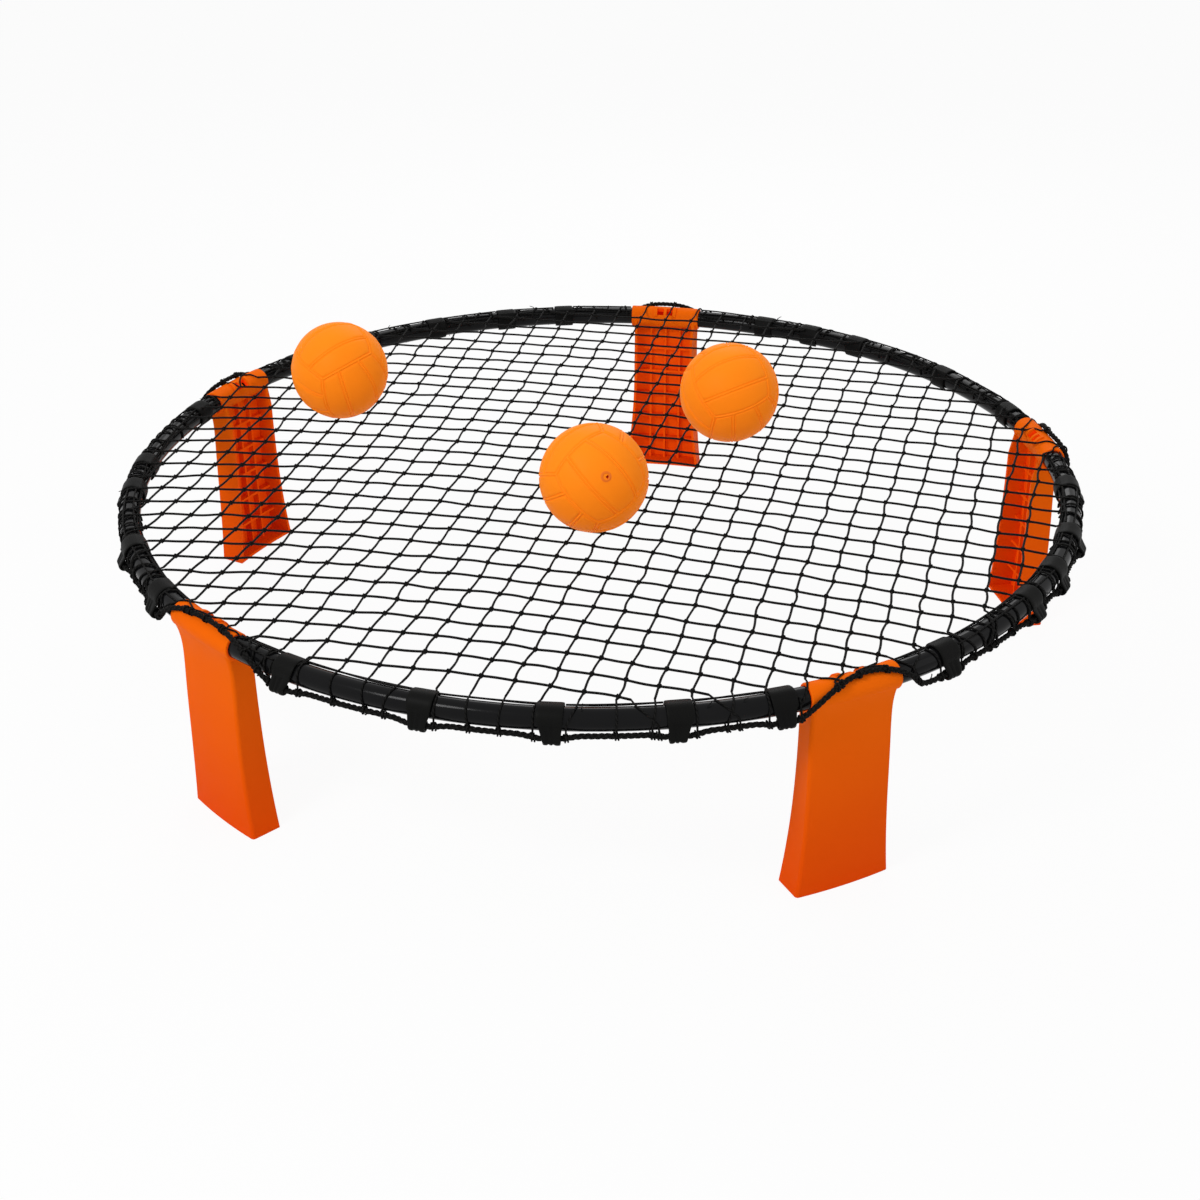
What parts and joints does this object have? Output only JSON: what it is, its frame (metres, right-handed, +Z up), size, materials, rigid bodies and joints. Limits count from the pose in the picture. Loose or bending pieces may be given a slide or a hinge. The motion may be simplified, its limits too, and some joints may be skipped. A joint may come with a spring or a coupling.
{
  "type": "roundnet set",
  "caption": "Low round net on plug-in legs: a tube ring carries a tight square mesh, held by clips and a border rope, with soft balls lying on it.",
  "frame": {"origin": "on the ground under the centre of the ring", "axes": "+Z up; -Y is the side seen in the picture"},
  "size_m": [0.9296, 0.9273, 0.2952],
  "materials": {
    "leg_plastic": "moulded orange plastic, faint sheen",
    "tube_plastic": "glossy black tube",
    "clip_plastic": "satin black moulded plastic",
    "net_cord": "knotted black nylon cord",
    "rope": "black braided cord",
    "ball_rubber": "satin orange rubber with embossed seams",
    "valve_rubber": "dark red rubber"
  },
  "bodies": {
    "root": {"leg_1": "leg_plastic", "leg_2": "leg_plastic", "leg_3": "leg_plastic", "leg_4": "leg_plastic", "leg_5": "leg_plastic", "rim_tube_1": "tube_plastic", "rim_tube_2": "tube_plastic", "rim_tube_3": "tube_plastic", "rim_tube_4": "tube_plastic", "rim_tube_5": "tube_plastic", "net_clip_1": "clip_plastic", "net_clip_2": "clip_plastic", "net_clip_3": "clip_plastic", "net_clip_4": "clip_plastic", "net_clip_5": "clip_plastic", "net_clip_6": "clip_plastic", "net_clip_7": "clip_plastic", "net_clip_8": "clip_plastic", "net_clip_9": "clip_plastic", "net_clip_10": "clip_plastic", "net_clip_11": "clip_plastic", "net_clip_12": "clip_plastic", "net_clip_13": "clip_plastic", "net_clip_14": "clip_plastic", "net_clip_15": "clip_plastic", "net_clip_16": "clip_plastic", "net_clip_17": "clip_plastic", "net_clip_18": "clip_plastic", "net_clip_19": "clip_plastic", "net_clip_20": "clip_plastic", "net_clip_21": "clip_plastic", "net_clip_22": "clip_plastic", "net_clip_23": "clip_plastic", "net_clip_24": "clip_plastic", "net_clip_25": "clip_plastic", "net": "net_cord", "net_edge_cords": "net_cord", "border_rope": "rope"},
    "ball_left": {"ball_left": "ball_rubber", "valve_left": "valve_rubber"},
    "ball_middle": {"ball_middle": "ball_rubber", "valve_middle": "valve_rubber"},
    "ball_right": {"ball_right": "ball_rubber", "valve_right": "valve_rubber"}
  },
  "joints": [
    {"name": "lift_ball_left", "type": "slide", "parent": "root", "child": "ball_left", "axis": [0, 0, 1], "range_m": [0, 0.3]},
    {"name": "lift_ball_middle", "type": "slide", "parent": "root", "child": "ball_middle", "axis": [0, 0, 1], "range_m": [0, 0.3]},
    {"name": "lift_ball_right", "type": "slide", "parent": "root", "child": "ball_right", "axis": [0, 0, 1], "range_m": [0, 0.3]}
  ]
}
